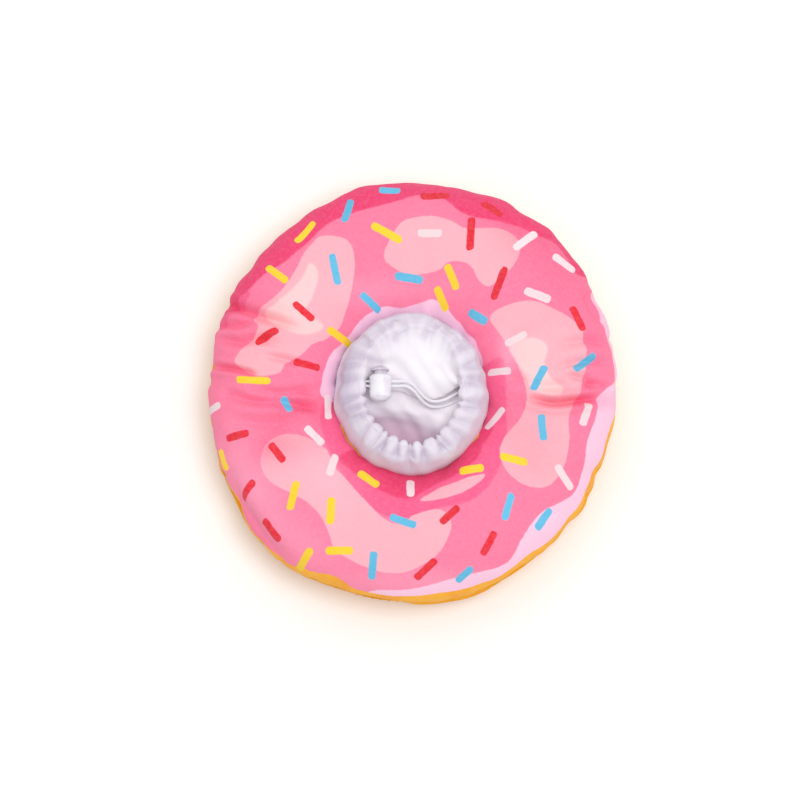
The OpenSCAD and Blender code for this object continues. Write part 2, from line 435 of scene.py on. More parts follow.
def spring_steel():
    s = Shader("Spring steel")
    drawn = s.noise(900.0, 3.0)
    colour = s.mix(s.between(drawn, 0.3, 0.7), srgb(150, 150, 154), srgb(196, 196, 200))
    return s.finish(colour, s.between(drawn, 0.3, 0.7, 0.2, 0.4), s.bump(drawn, 0.2, 0.05), Metallic=1.0)


def floor_material():
    s = Shader("Pale floor")
    return s.finish(s.patches(3.0, 2.0, (0.97, 0.975, 0.985), (0.98, 0.985, 0.995), 0.3), 0.9)


LOOKS = {
    "iced": (iced_print,),
    "dough": (dough_print,),
    "fibre": (fibre_material,),
    "white": (white_cloth, "White cloth", *OUTER_WHITE),
    "lining": (white_cloth, "Lining cloth", *LINING_WHITE),
    "gold": (thread_material, "Golden thread", srgb(246, 190, 80), srgb(206, 140, 40)),
    "thread": (thread_material, "White thread", srgb(240, 236, 244), srgb(190, 180, 204)),
    "braid": (braid, "White braid", srgb(246, 243, 248)),
    "shell": (moulded, "White moulded plastic", srgb(240, 236, 243), srgb(230, 224, 234)),
    # The plunger: the barrel's white plastic made darker, as painted shade.
    "painted_shade_plastic": (moulded, "White plastic, painted shade", srgb(214, 204, 216), srgb(192, 180, 196)),
    "steel": (spring_steel,),
}


@functools.cache
def material(look):
    make, *options = LOOKS[look]
    return make(*options)


def dress(piece, look, slot, *nodes):
    """Gives a piece its material and hides the nodes that it replaces. The slot is not used."""
    piece.data.materials.append(material(look))
    if nodes:
        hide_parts(*nodes)


# ---- Camera, floor and light ----

AIM, DISTANCE, ELEVATION, LENS = (-0.009, -0.0052, 0.03), 1.5, 80, 98.8
LIGHTS = (  # name, place, size and power
    ("Key", (0.3, -0.1, 1.5), 0.8, 9.4),
    ("Fill", (-0.3, 0.8, 1.3), 1.4, 3.0),
)
LIGHT_AIM = (0, 0, 0.03)
SKY = 0.66
FLOOR_HALF = 3000.0


def stage():
    """The camera looks along +Y and steeply down, with no roll. The floor is a wide pale square."""
    tilt = math.radians(ELEVATION)
    back = Vector((0, -math.cos(tilt), math.sin(tilt)))
    right = Vector((1, 0, 0))
    lens = bpy.data.cameras.new("Camera")
    lens.lens, lens.clip_end = LENS, 50
    camera = add("Camera", lens)
    turned = Matrix((right, back.cross(right), back)).transposed().to_4x4()
    camera.matrix_world = Matrix.Translation(Vector(AIM) + DISTANCE * back) @ turned
    bpy.context.scene.camera = camera
    floor = new_piece("Floor")
    x, y = np.meshgrid([-FLOOR_HALF, FLOOR_HALF], [-FLOOR_HALF, FLOOR_HALF], indexing="ij")
    faces, corners = grid_faces(2, 2, False, False)
    fill_mesh(floor.data, np.stack([x, y, 0 * x - 0.3], axis=2).reshape(-1, 3), faces, corners * 2 * FLOOR_HALF)
    floor.data.materials.append(floor_material())
    world = bpy.data.worlds.new("Studio")
    bpy.context.scene.world = world
    world.use_nodes = True
    sky = world.node_tree.nodes["Background"].inputs
    sky[0].default_value, sky[1].default_value = (1, 1, 1, 1), SKY
    for name, place, size, power in LIGHTS:
        lamp = bpy.data.lights.new(name, "AREA")
        lamp.shape, lamp.size, lamp.energy = "DISK", size, power
        light = add(name, lamp)
        light.location = place
        light.rotation_euler = (Vector(LIGHT_AIM) - Vector(place)).to_track_quat("-Z", "Y").to_euler()
    bpy.context.scene.view_settings.view_transform = "Standard"


# ---- The stuffed ring's shape ----

OUTLINE_BUMPS = [  # angle in degrees, width in degrees, and how far the outline stands out there
    (225, 13, 3.6), (240, 9, 1.0), (55, 20, 3.6), (180, 13, -1.6), (322, 24, -3.8), (347, 14, -2.4), (272, 24, -1.4),
    (92, 14, 0.8),
]
OUTLINE_R, OUTLINE_LONG = 141.6, 4.8
HOLE_LONG, HOLE_WIDE = 53.0, 47.8
HOLE_SHIFT = (-1.2, -2.0)
FULLNESS, LIFT = 0.8, 0.92  # the section's corners, level and upright: 1 is a plain ellipse, less is squarer
PINCHES = (2.2, 0.2)  # how far the section pulls in at the outer seam and at the hole
UNEVEN = 0.035  # the share that the crown's height varies by
FLATNESS, HEEL = 1.17, 1.2  # how much of the back is pressed flat, and how softly the flat part ends
OUTER_SEAM_R, HOLE_SEAM_R = 140, 52  # rounded, for the widths of puckers


def outline(angle):
    """The ring's outer radius: an oval, with a few broad bulges and pinches, and shallow scallops between
    the puckers of the seam."""
    r = OUTLINE_R + OUTLINE_LONG * np.sin(angle) ** 2
    for centre, width, height in OUTLINE_BUMPS:
        r = r + height * np.exp(-((np.degrees(wrapped(angle - np.radians(centre))) / width) ** 2))
    return r + 0.32 * ripple(angle, 0, 11, 14, 26, 0)


def hole(angle):
    """The neck hole's radius at the seam: a slightly shifted oval."""
    r = 1 / np.sqrt((np.cos(angle) / HOLE_WIDE) ** 2 + (np.sin(angle) / HOLE_LONG) ** 2)
    r = r + HOLE_SHIFT[0] * np.cos(angle) + HOLE_SHIFT[1] * np.sin(angle)
    return r + 0.3 * ripple(angle, 0, 12, 6, 9, 0)


def power(x, exponent):
    """A power that keeps the sign."""
    return np.sign(x) * np.abs(x) ** exponent


def arc_table():
    """The section's own arc length from its crown, for phi from 0 to 180 degrees: positive outwards."""
    fine = np.linspace(0, np.pi, 1441)
    r = RING_W / 2 * power(np.cos(fine), FULLNESS)
    z = SEAM_Z * power(np.sin(fine), LIFT)
    length = np.concatenate([[0], np.cumsum(np.hypot(np.diff(r), np.diff(z)))])
    return fine, length[len(fine) // 2] - length


ARC = arc_table()


def section_arc(phi):
    return np.interp(phi, *ARC)


def phi_at(share):
    """The section's angle where a share of the ring's width has been crossed, from the hole outwards."""
    return np.arccos(power(2 * share - 1, 1 / FULLNESS))


def print_radius(phi):
    """The radius that the print is drawn at. It grows a little faster than the plan's radius towards the
    seams, so that marks on the flanks are neither stretched nor much foreshortened from above."""
    return CROWN_R + 0.3 * section_arc(phi) + 0.7 * RING_W / 2 * power(np.cos(phi), FULLNESS)


def panel_place(x, y):
    """Where a point of the plan lies on the print: the same angle, at the print's own radius."""
    angle, r = np.arctan2(y, x), np.hypot(x, y)
    share = np.clip((r - hole(angle)) / (outline(angle) - hole(angle)), 0.003, 0.997)
    return polar(print_radius(phi_at(share)), angle)


def puckers(angle, along, seed, count, depth, radius, width, reach):
    """Short creases square to a seam: each falls off across its width as a Gaussian and fades along its
    length. along is the distance from the seam in millimetres, and the widths grow with it."""
    draw = np.random.default_rng(seed)
    total = np.zeros(np.broadcast(angle, along).shape)
    for k in range(count):
        centre = TURN * (k + draw.uniform(-0.32, 0.32)) / count
        lean = draw.uniform(-0.0035, 0.0035)
        long = draw.uniform(0.35, 1.0) * reach
        across = wrapped(angle - centre - lean * along) * radius
        wide = draw.uniform(0.7, 1.3) * (width + 0.12 * along)
        total += draw.uniform(0.3, 1.0) * np.exp(-((across / wide) ** 2)) * np.exp(-((along / long) ** 2))
    return -depth * total


# Long creases of the folded ring: points in the plan, depth and half-width in millimetres.
CREASES = [
    ([(-137, 64), (-122, 56), (-106, 48), (-88, 42), (-70, 36)], 3.6, 3.4),
    ([(-137, 44), (-120, 42), (-104, 44)], 2.4, 2.8),
    ([(-139, 16), (-126, 13), (-112, 9), (-103, 6)], 3.6, 2.2),
    ([(-132, 34), (-118, 30), (-104, 31), (-86, 26)], 2.6, 3.2),
    ([(-108, -2), (-92, -5), (-76, -4), (-62, -6)], 2.6, 3.0),
    ([(-124, -6), (-106, -11), (-88, -11), (-70, -14), (-58, -16)], 3.4, 3.8),
    ([(-98, 20), (-86, 17), (-72, 13)], 2.2, 2.8),
    ([(-118, -24), (-98, -26), (-80, -24)], 1.8, 4.5),
    ([(80, -10), (94, -13), (110, -11), (130, -8)], 4.6, 2.6),
    ([(78, 0), (70, 4), (60, 6)], 1.6, 4.0),
    ([(102, 6), (114, 4), (126, -4)], 2.2, 2.6),
    ([(98, 12), (114, 16), (136, 16)], 2.2, 3.0),
    ([(112, -2), (122, 1), (136, 0)], 1.6, 2.2),
    ([(100, 28), (118, 31), (137, 29)], 2.0, 3.2),
    ([(-128, -62), (-116, -80), (-98, -104), (-82, -122)], 2.2, 5.0),
    ([(-56, -14), (-62, -30), (-60, -44)], 0.9, 4.5),
    ([(84, -2), (96, -1), (108, 2)], 1.6, 3.0),
    ([(118, 62), (124, 50), (132, 44)], 1.6, 3.0),
    ([(64, -84), (84, -88), (104, -84)], 0.8, 6.0),
]


def distance_to(x, y, line):
    """Distance from points of the plan to a line of points, and how far along it the nearest place is."""
    a, b = line[:-1], line[1:]
    best, where = np.full(x.shape, 1e9), np.zeros(x.shape)
    for k in range(len(a)):
        d = b[k] - a[k]
        t = np.clip(((x - a[k, 0]) * d[0] + (y - a[k, 1]) * d[1]) / (d @ d), 0, 1)
        far = np.hypot(x - a[k, 0] - t * d[0], y - a[k, 1] - t * d[1])
        near = far < best
        best = np.where(near, far, best)
        where = np.where(near, (k + t) / len(a), where)
    return best, where


def crease_depth(x, y):
    """How far the long creases sink the front, with a low ridge along both sides of each."""
    total = np.zeros(x.shape)
    for points, depth, width in CREASES:
        far, where = distance_to(x, y, through(points, 5))
        ends = smooth(where, 0.0, 0.25) * (1 - smooth(where, 0.7, 1.0)) + 0.55 * (1 - smooth(where, 0.0, 0.25))
        width = 0.85 * width
        total -= 1.6 * depth * ends * np.exp(-((far / width) ** 1.6))
        total += 0.5 * depth * ends * np.exp(-(((far - 2.3 * width) / (1.2 * width)) ** 2))
    return total


def ring_surface(angle, phi, sink=0.0):
    """A point of the stuffed ring at an angle round it and an angle phi round its section: 180 degrees at the
    hole, 90 on the crown, 0 at the outer seam, and below 0 on the back. The section is an ellipse that pulls in
    at both seams; the back is pressed flat where it lies on the ground. sink draws everything inwards."""
    inner, outer = hole(angle), outline(angle)
    half = (outer - inner) / 2 - sink
    height = SEAM_Z - sink
    c, s = np.cos(phi), np.sin(phi)
    pinch = np.where(c > 0, *PINCHES) * np.exp(-((s / 0.2) ** 2))
    r = (outer + inner) / 2 + (half - pinch) * power(c, FULLNESS)
    lift = power(s, LIFT)
    top = height * (1 + UNEVEN * ripple(angle, 0, 13, 5, 5, 0))
    flat = height - 0.2
    below = -flat * np.minimum(1, FLATNESS * np.abs(lift))
    soft = 0.5 * (below - flat + np.sqrt((below + flat) ** 2 + HEEL)) - 0.5
    return polar(r, angle, SEAM_Z + np.where(s >= 0, top * lift, np.maximum(soft, -(height - 0.1))))


def gathered_ring(angle, phi):
    """The ring's cloth: the smooth surface, moved along its normal by seam puckers, creases and soft lumps."""
    points = ring_surface(angle, phi)
    normal = normals_of(points)
    normal *= np.sign(((points - ring_centre(angle)) * normal).sum(axis=2, keepdims=True))
    from_outer = np.abs(section_arc(np.zeros(1)) - section_arc(np.abs(phi)))
    from_hole = np.abs(section_arc(np.full(1, np.pi)) - section_arc(np.abs(phi)))
    sides = 0.35 + 0.65 * np.cos(angle) ** 2
    move = puckers(angle, from_outer, 21, 46, 1.9, OUTER_SEAM_R, 3.2, 24) * sides
    move += puckers(angle, from_outer, 22, 19, 1.8, OUTER_SEAM_R, 6.0, 44) * sides
    move += puckers(angle, from_hole, 23, 26, 2.2, HOLE_SEAM_R, 2.2, 26) * sides * smooth(from_hole, 3, 16)
    move += 0.4 * ripple(angle, phi, 24, 26, 34, 8) + 0.9 * ripple(angle, phi, 25, 12, 11, 3)
    front = phi > 0
    reach = 0.25 + 0.75 * smooth(from_outer, 2, 22)
    move += np.where(front, crease_depth(points[..., 0], points[..., 1]) * reach, 0)
    rests = smooth(points[..., 2], 0.6, 7.0)
    points = points + normal * (move * np.where(front, 1, rests))[..., None]
    points[..., 2] = np.maximum(points[..., 2], 0.05)
    return points


def ring_centre(angle):
    """The middle of the ring's section, at the height of its seams."""
    return polar((hole(angle) + outline(angle)) / 2, angle, SEAM_Z)


# ---- The front panel's print, in plan millimetres as it lies on the ring ----

SPRINKLES = {  # x, y, the slope in degrees and the length
    "blue": [
        (-16, 137, -5, 14), (-45, 123, 70, 16), (-53, 80, -80, 21), (-3, 74, -10, 19), (-29, 58, -40, 16),
        (44, 48, -30, 15), (115, 15, 40, 18), (84, 4, 65, 19), (-85, -13, -60, 12), (86, -29, -88, 18),
        (-7, -92, -20, 18), (63, -82, 70, 18), (87, -90, 48, 17), (-27, -121, 85, 18), (34, -128, 45, 14),
    ],
    "red": [
        (15, 132, 10, 20), (54, 123, -40, 16), (39, 104, 87, 22), (58, 70, 72, 21), (111, 46, -68, 19),
        (-74, 50, -42, 17), (-99, 33, 30, 18), (-72, 14, -12, 17), (-118, -34, 12, 16), (-91, -46, -48, 16),
        (-112, -71, 52, 16), (-94, -97, -50, 17), (24, -88, 42, 16), (50, -107, 60, 17), (8, -124, 42, 18),
    ],
    "yellow": [
        (-74, 108, 50, 19), (-18, 105, -30, 23), (-92, 76, -38, 17), (26, 74, -65, 17), (19, 60, -62, 16),
        (-49, 34, -30, 19), (-107, 3, -4, 22), (67, -50, -15, 19), (39, -57, 4, 17), (-30, -63, -35, 16),
        (-80, -75, 78, 18), (-55, -85, 88, 17), (-49, -111, -5, 17), (-72, -116, 58, 16), (-129, -49, -68, 15),
    ],
    "white": [
        (11, 104, 0, 16), (76, 100, 38, 18), (102, 85, -30, 18), (84, 62, -20, 19), (69, 32, 25, 15),
        (58, 10, -2, 15), (54, -21, 42, 19), (115, -20, 78, 16), (101, -62, -55, 19), (-2, -69, 90, 13),
        (-135, -14, 15, 14), (-66, -34, -40, 17), (-54, -54, 75, 14), (-57, -13, -78, 17),
    ],
}
SPRINKLE_WIDE, CORNER_R = 5.0, 2.0

PATCHES = {
    "glaze": [
        [(-64, 104), (-52, 104), (-44, 100), (-40, 90), (-40, 74), (-44, 56), (-48, 42), (-58, 32), (-68, 28),
         (-76, 20), (-86, 14), (-90, 8), (-104, 6), (-116, 12), (-120, 18), (-116, 24), (-104, 38), (-108, 46),
         (-98, 56), (-88, 66), (-80, 78), (-74, 92), (-68, 100)],
        [(-20, 88), (-16, 100), (-8, 112), (4, 116), (16, 116), (28, 112), (34, 108), (44, 108), (60, 108), (70, 102),
         (72, 92), (66, 80), (52, 68), (44, 72), (40, 80), (34, 84), (24, 84), (16, 78), (0, 76), (-12, 80)],
        [(52, 48), (58, 36), (66, 24), (72, 8), (76, -8), (72, -22), (60, -36), (58, -48), (64, -60), (76, -68),
         (90, -68), (100, -56), (104, -38), (104, -20), (112, -4), (116, 20), (114, 36), (108, 44), (96, 52), (82, 58),
         (66, 56)],
        [(-102, -50), (-98, -40), (-88, -34), (-76, -34), (-66, -38), (-58, -44), (-52, -56), (-46, -62), (-32, -78),
         (-20, -90), (-8, -94), (0, -88), (16, -84), (24, -90), (24, -100), (16, -114), (4, -122), (-8, -126),
         (-22, -125), (-40, -118), (-52, -110), (-56, -100), (-62, -88), (-70, -80), (-80, -74), (-92, -68),
         (-100, -60)],
        [(4, -78), (14, -71), (26, -66), (38, -62), (48, -60), (42, -67), (31, -73), (18, -77)],
    ],
    "bright_glaze": [
        [(-76, 72), (-70, 84), (-64, 76), (-68, 60), (-72, 50), (-60, 40), (-74, 34), (-92, 40), (-100, 48), (-92, 56)],
        [(64, 28), (80, 32), (90, 26), (88, 14), (92, 4), (100, -2), (96, -8), (80, -4), (74, 8)],
    ],
    "deep_icing": [
        [(-50, -48), (-40, -58), (-30, -66), (-20, -72), (-8, -76), (0, -76), (8, -70), (16, -66), (24, -62), (36, -56),
         (44, -48), (48, -38), (52, -26), (30, -34), (0, -44), (-30, -40)],
        [(-128, 50), (-116, 62), (-100, 76), (-88, 84), (-80, 92), (-72, 100), (-60, 112), (-46, 120), (-28, 124),
         (-12, 128), (4, 132), (16, 132), (24, 128), (32, 120), (42, 116), (56, 114), (72, 110), (84, 104), (96, 100),
         (104, 90), (112, 78), (128, 84), (112, 112), (80, 136), (40, 152), (0, 156), (-50, 150), (-96, 124),
         (-124, 96), (-142, 60)],
    ],
    "mid_icing": [
        [(-60, -34), (-50, -56), (-36, -76), (-20, -88), (-6, -92), (6, -86), (22, -82), (38, -78), (50, -68),
         (58, -54), (62, -38), (62, -18), (62, 4), (58, 20), (30, 10), (-30, 10), (-58, -4)],
        [(-138, 40), (-126, 46), (-112, 58), (-112, 66), (-124, 64), (-140, 66)],
    ],
    "pale_icing": [
        [(-60, -8), (-62, 4), (-60, 12), (-56, 22), (-48, 29), (-43, 35), (-36, 46), (-29, 52), (-20, 56), (-9, 56),
         (3, 58), (13, 60), (21, 56), (27, 50), (36, 40), (42, 31), (46, 16), (36, 14), (0, 0), (-30, -10)],
        [(142, 4), (132, 0), (124, -8), (122, -20), (116, -38), (114, -56), (108, -72), (96, -80), (88, -84), (78, -94),
         (72, -104), (64, -118), (52, -124), (32, -129), (12, -134), (-8, -137), (-28, -137), (-40, -146),
         (-10, -165), (80, -140), (140, -90), (160, -20)],
        [(122, 66), (128, 50), (133, 34), (136, 16), (139, 4), (152, 8), (148, 40), (134, 74)],
    ],
}

# How far in from each edge the dough shows, in plan millimetres, by the angle in degrees.
DOUGH_EDGE = (
    (-180, -168, -158, -150, -140, -126, -120, -113, -105, -97, -90, -70, -62, -56,
     -46, -35, -25, -12, -4, 0, 30, 42, 55, 68, 76, 90, 180),
    (-2, -1.4, 0.6, 1.4, 1.8, 2.6, 6.5, 9, 4.2, 4, 4.8, 3.6, 4.2, 5.4,
     3.4, 2.6, 3.2, 3.8, 2.0, -1.4, -1.4, 1.2, 2, 1.2, 0, -1.6, -2),
)
DOUGH_HOLE = (
    (-180, -165, -150, -130, -112, -70, -52, -38, -25, 0, 180),
    (-3, -1, 4.8, 4.4, 1, -1, 4.8, 6, -1, -3, -3),
)


def patch_distance(place, outlines):
    """Signed distance on the flat panel to the nearest of some closed outlines, positive inside."""
    best = np.full(place.shape[:-1], -1e9)
    x, y = place[..., 0], place[..., 1]
    for points in outlines:
        curve = through(points, 5, closed=True)
        line = panel_place(curve[:, 0], curve[:, 1])
        line = np.concatenate([line, line[:1]])
        inside = np.zeros(x.shape, bool)
        for (ax, ay), (bx, by) in zip(line[:-1], line[1:]):
            if ay != by:
                inside ^= ((ay > y) != (by > y)) & (x < ax + (bx - ax) * (y - ay) / (by - ay))
        far, _ = distance_to(x, y, line)
        best = np.maximum(best, np.where(inside, far, -far))
    return best


def sprinkle_marks(place):
    """Signed distance to the nearest sprinkle, positive inside, and that sprinkle's colour. Each is a short
    bar with rounded corners, laid on the print at its place and slope."""
    best = np.full(place.shape[:-1], -1e9)
    colour = np.zeros((*place.shape[:-1], 3))
    draw = np.random.default_rng(31)
    for name, marks in SPRINKLES.items():
        for x, y, slope, long in marks:
            centre = panel_place(np.array(x, float), np.array(y, float))
            turn = math.radians(slope)
            dx, dy = place[..., 0] - centre[0], place[..., 1] - centre[1]
            u = np.abs(dx * math.cos(turn) + dy * math.sin(turn)) - long / 2 + CORNER_R
            v = np.abs(dy * math.cos(turn) - dx * math.sin(turn)) - SPRINKLE_WIDE / 2 + CORNER_R
            signed = CORNER_R - np.hypot(np.maximum(u, 0), np.maximum(v, 0)) - np.minimum(np.maximum(u, v), 0)
            nearer = signed > best
            best = np.where(nearer, signed, best)
            tint = np.array(SPRINKLE_COLOURS[name]) * draw.uniform(0.92, 1.04)
            colour = np.where(nearer[..., None], tint, colour)
    return best, colour


def spot(x, y, centre, wide, long, slope):
    """A soft oval spot: 1 at its centre, fading as a Gaussian."""
    c, s = math.cos(math.radians(slope)), math.sin(math.radians(slope))
    u, v = (x - centre[0]) * c + (y - centre[1]) * s, (y - centre[1]) * c - (x - centre[0]) * s
    return np.exp(-((u / long) ** 2) - (v / wide) ** 2)

# Soft spots on the print, partly its own tone and partly painted: the darker ones include painted shade along
# the creases, and the lighter ones painted light where the ring lies in shade. Each has the strength, the
# centre, the widths across and along, and the slope in degrees.
PRINT_AND_PAINTED_SHADES = [
    (0.5, (-74, -15), 8, 20, 4), (0.3, (70, 118), 14, 50, -35), (0.26, (-84, -42), 14, 24, 20),
    (0.14, (80, -38), 18, 24, 90), (0.4, (0, 142), 9, 60, 0), (0.3, (-100, -44), 9, 14, 40),
    (0.25, (-110, 52), 9, 26, -20), (0.4, (108, -11), 6, 26, 4), (0.25, (-110, -92), 8, 30, -52),
    (0.2, (95, 80), 20, 50, -45),
]
PRINT_AND_PAINTED_LIGHT = [
    (0.28, (-110, -62), 18, 32, -60), (0.22, (0, -132), 9, 60, 0), (0.35, (63, 22), 6, 14, 100),
    (0.16, (-76, -106), 14, 30, -35), (0.2, (-60, -62), 14, 26, -40), (0.15, (-20, 66), 10, 40, 0),
]


def print_on(cover, angle, phi):
    """Stores the print on the front cover's points."""
    place = polar(print_radius(phi), angle)
    for name, outlines in PATCHES.items():
        attribute(cover, name, patch_distance(place, outlines))
    marks, colours = sprinkle_marks(place)
    attribute(cover, "sprinkle", marks)
    attribute(cover, "sprinkle_colour", colours)
    width = outline(angle) - hole(angle)
    degrees = np.degrees(wrapped(angle))
    edge_share = np.clip(1 - eased(*DOUGH_EDGE, degrees) / width, 0.003, 1)
    hole_share = np.clip(eased(*DOUGH_HOLE, degrees) / width, 0, 0.4)
    outer_edge = section_arc(phi) - section_arc(phi_at(edge_share))
    inner_edge = section_arc(phi_at(hole_share)) - section_arc(phi)
    none = -9.0
    dough = np.maximum(np.where(edge_share < 1, outer_edge, none), np.where(hole_share > 0, inner_edge, none))
    attribute(cover, "dough", dough)
    x, y = np.moveaxis(polar(hole(angle) + (1 + power(np.cos(phi), FULLNESS)) / 2 * width, angle), -1, 0)
    # The soft spots: print tone, with painted shade along the creases and painted light where the ring lies in shade.
    for name, spots, most in (("shade", PRINT_AND_PAINTED_SHADES, 0.8), ("glow", PRINT_AND_PAINTED_LIGHT, 0.6)):
        attribute(cover, name, np.clip(sum(strength * spot(x, y, *rest) for strength, *rest in spots), 0, most))


# ---- The stuffed ring's pieces ----

AROUND, FRONT_ROWS, BACK_ROWS = 800, 101, 81
angle_ring = (TURN * np.arange(AROUND) / AROUND)[:, None]


def make_covers():
    """The front and back panels, which meet at both seams."""
    phi = np.linspace(np.pi, 0, FRONT_ROWS)[None, :]
    front = grid_piece("front_cover", gathered_ring(angle_ring, phi), flip=True, weave=(1.0, 1.2))
    print_on(front, angle_ring, phi)
    dress(front, "iced", "iced_print", "front_cover")
    under = np.linspace(-np.pi, 0, BACK_ROWS)[None, :]
    back = grid_piece("back_cover", gathered_ring(angle_ring, under), weave=(1.0, 1.4))
    dress(back, "dough", "dough_print", "back_cover")


def make_filling():
    """Loose fibre: the ring's section drawn in, with soft tufts."""
    angle = angle_ring[::4]
    phi = (TURN * np.arange(48) / 48)[None, :] - np.pi
    points = ring_surface(angle, phi, sink=8.0)
    points = points + (points - ring_centre(angle)) / 40 * (0.9 * ripple(angle, phi, 26, 20, 60, 6))[..., None]
    filling = grid_piece("fibre_filling", points, round_columns=True)
    dress(filling, "fibre", "fibre", "fibre_filling")


def make_allowance(name, seam, inwards, look, slot):
    """A seam allowance: the two cut edges, a thin wavy band turned into the ring from its seam."""
    angle = angle_ring[::2]
    edge = np.array([2.2, 4.2, 6.2, 8.4])
    across = np.concatenate([edge, edge[::-1]])[None, :]
    level = np.repeat([0.9, -0.9], 4)[None, :]
    points = polar(seam(angle) + inwards * across, angle, SEAM_Z + level + 0.8 * ripple(angle, 0, 27, 12, 50, 0))
    dress(grid_piece(name, points, round_columns=True, flip=inwards > 0), look, slot, name)


def bars(name, centres, along, up, long, thick, sides=8):
    """Many short rounded stitches in one piece: each is a spindle that thins at its ends."""
    t = np.linspace(-1, 1, 7)
    ring = thick / 2 * polar(np.sqrt(1 - 0.92 * t**2)[:, None], TURN * np.arange(sides) / sides)
    side = np.cross(along, up)
    points = (
        centres[:, None, None]
        + long / 2 * t[None, :, None, None] * along[:, None, None]
        + ring[None, ..., :1] * side[:, None, None]
        + ring[None, ..., 1:] * up[:, None, None]
    )
    faces, _ = grid_faces(len(t), sides, False, True)
    caps = []
    for end, order in ((0, 1), (len(t) - 1, -1)):
        turn = end * sides + np.arange(sides)[::order]
        caps += [turn[[0, k, k + 1, k + 2]] for k in range(1, sides - 2, 2)]
    one = np.concatenate([faces, caps])
    every = one[None] + len(t) * sides * np.arange(len(centres))[:, None, None]
    piece = new_piece(name)
    fill_mesh(piece.data, points.reshape(-1, 3), every.reshape(-1, 4))
    return piece


def make_closing_stitches():
    """A short row of slanting hand stitches across the outer seam, on the near side."""
    angle = np.radians(np.linspace(-105.4, -74.6, 15))
    along = np.stack([-0.35 * np.sin(angle), 0.35 * np.cos(angle), np.full(15, 0.94)], axis=-1)
    out = polar(1.0, angle, 0.0)
    up = out - (out * along).sum(axis=1, keepdims=True) * along
    up /= np.linalg.norm(up, axis=1, keepdims=True)
    centres = polar(outline(angle) - 2.1, angle, SEAM_Z)
    dress(bars("closing_stitches", centres, along, up, 4.4, 0.9), "gold", "thread", "closing_stitches")


# ---- The neck sleeve ----

UP = np.array([0.0, 0.0, 1.0])
RIM_MIDDLE = np.array([-0.6, -3.8])
RIM_WIDE, RIM_LONG = 35.2, 40.4
CASING_R = 4.3
BULGE_MIDDLE = np.array([-1.4, -4.0])
BULGE_WIDE, BULGE_LONG = 52.5, 54.4
PLEATS = 33
FOOT_Z = SEAM_Z + 2.5


def on_oval(middle, wide, long, angle):
    """A point of the plan on an oval, at a parameter angle."""
    return np.stack([middle[0] + wide * np.cos(angle), middle[1] + long * np.sin(angle)], axis=-1)


def rim_line(angle):
    """The middle line of the gathered rim: an oval, slightly off the ring's middle, that rises and dips."""
    wave = 0.5 * ripple(angle, 0, 41, 5, 7, 0)
    x, y = np.moveaxis(on_oval(RIM_MIDDLE, RIM_WIDE + wave, RIM_LONG + wave, angle), -1, 0)
    z = RIM_Z - 0.4 + 0.8 * ripple(angle, 0, 42, 4, 5, 0)
    return np.stack([x, y, z], axis=-1)


def outwards(angle):
    """The level direction that points out of the rim at a parameter angle."""
    out = np.stack([np.cos(angle) / RIM_WIDE, np.sin(angle) / RIM_LONG, 0 * angle], axis=-1)
    return out / np.linalg.norm(out, axis=-1, keepdims=True)


def pleat_lines():
    """Each pleat's valley: where it meets the rim, how deep it is, how far it runs out, its lean and its
    width. Pleats are crisp on the near side, long at the two sides, and soft and wide on the far side."""
    draw = np.random.default_rng(43)
    angle = TURN * (np.arange(PLEATS) + draw.uniform(-0.36, 0.36, PLEATS)) / PLEATS
    far = smooth(np.sin(angle), 0.0, 0.8)
    beside = smooth(np.abs(np.cos(angle)), 0.5, 0.95)
    deep = draw.uniform(0.5, 1.0, PLEATS) * (1 - 0.25 * far)
    long = draw.uniform(0.5, 0.82, PLEATS) + 0.12 * beside
    lean = draw.uniform(-0.16, 0.16, PLEATS)
    wide = draw.uniform(0.85, 1.3, PLEATS) * (1 + 0.9 * far + 0.35 * beside)
    return np.stack([angle, deep, long, lean, wide], axis=1)


VALLEYS = pleat_lines()


def valleys(angle, out):
    """The pleats' depth, 0 on a crest and about 1 in a valley. out runs from 0 at the rim to 1 at the foot
    seam: each valley widens and fades along its own length."""
    total = np.zeros(np.broadcast(angle, out).shape)
    for centre, deep, long, lean, wide in VALLEYS:
        far = np.abs(wrapped(angle - centre - lean * out)) * 38
        across = (1.1 + 2.9 * out) * wide
        fade = 1 - smooth(out, 0.5 * long, long)
        total = np.maximum(total, deep * fade * np.exp(-((far / across) ** 1.4)))
    return total


# Soft folds where the slack lining leaves the rim: short lines in the plan, and their half-width.
FAR_FOLDS = [
    [(-12, 27), (-6, 35)], [(6, 29), (16, 38)], [(25, 17), (37, 25)], [(-20, 37), (-13, 43)], [(-36, 33), (-29, 25)],
    [(-32, 15), (-22, 12)], [(34, 8), (44, 10)], [(20, 33), (26, 41)],
]
FAR_FOLD_WIDE = 2.7
CREST_PLEAT = 1.7  # how deep the pleats are on the rim's crest, where the sleeve's edge meets the casing
FLANK_PLEAT = 5.0  # and further out, on the sleeve
# Painted shade: the sleeve's left side greyed as though it lay in shade.
LEFT_SHADE = ((-48, 2), 9, 30, 90)  # a greyer place on the sleeve beside the eyelets
CLOTH = 0.6


def far_folds(points):
    """How deep the soft folds are, 0 to 1: a Gaussian across each short line."""
    total = np.zeros(points.shape[:-1])
    for line in FAR_FOLDS:
        far, _ = distance_to(points[..., 0], points[..., 1], np.array(line, float))
        total = np.maximum(total, np.exp(-((far / FAR_FOLD_WIDE) ** 2)))
    return total


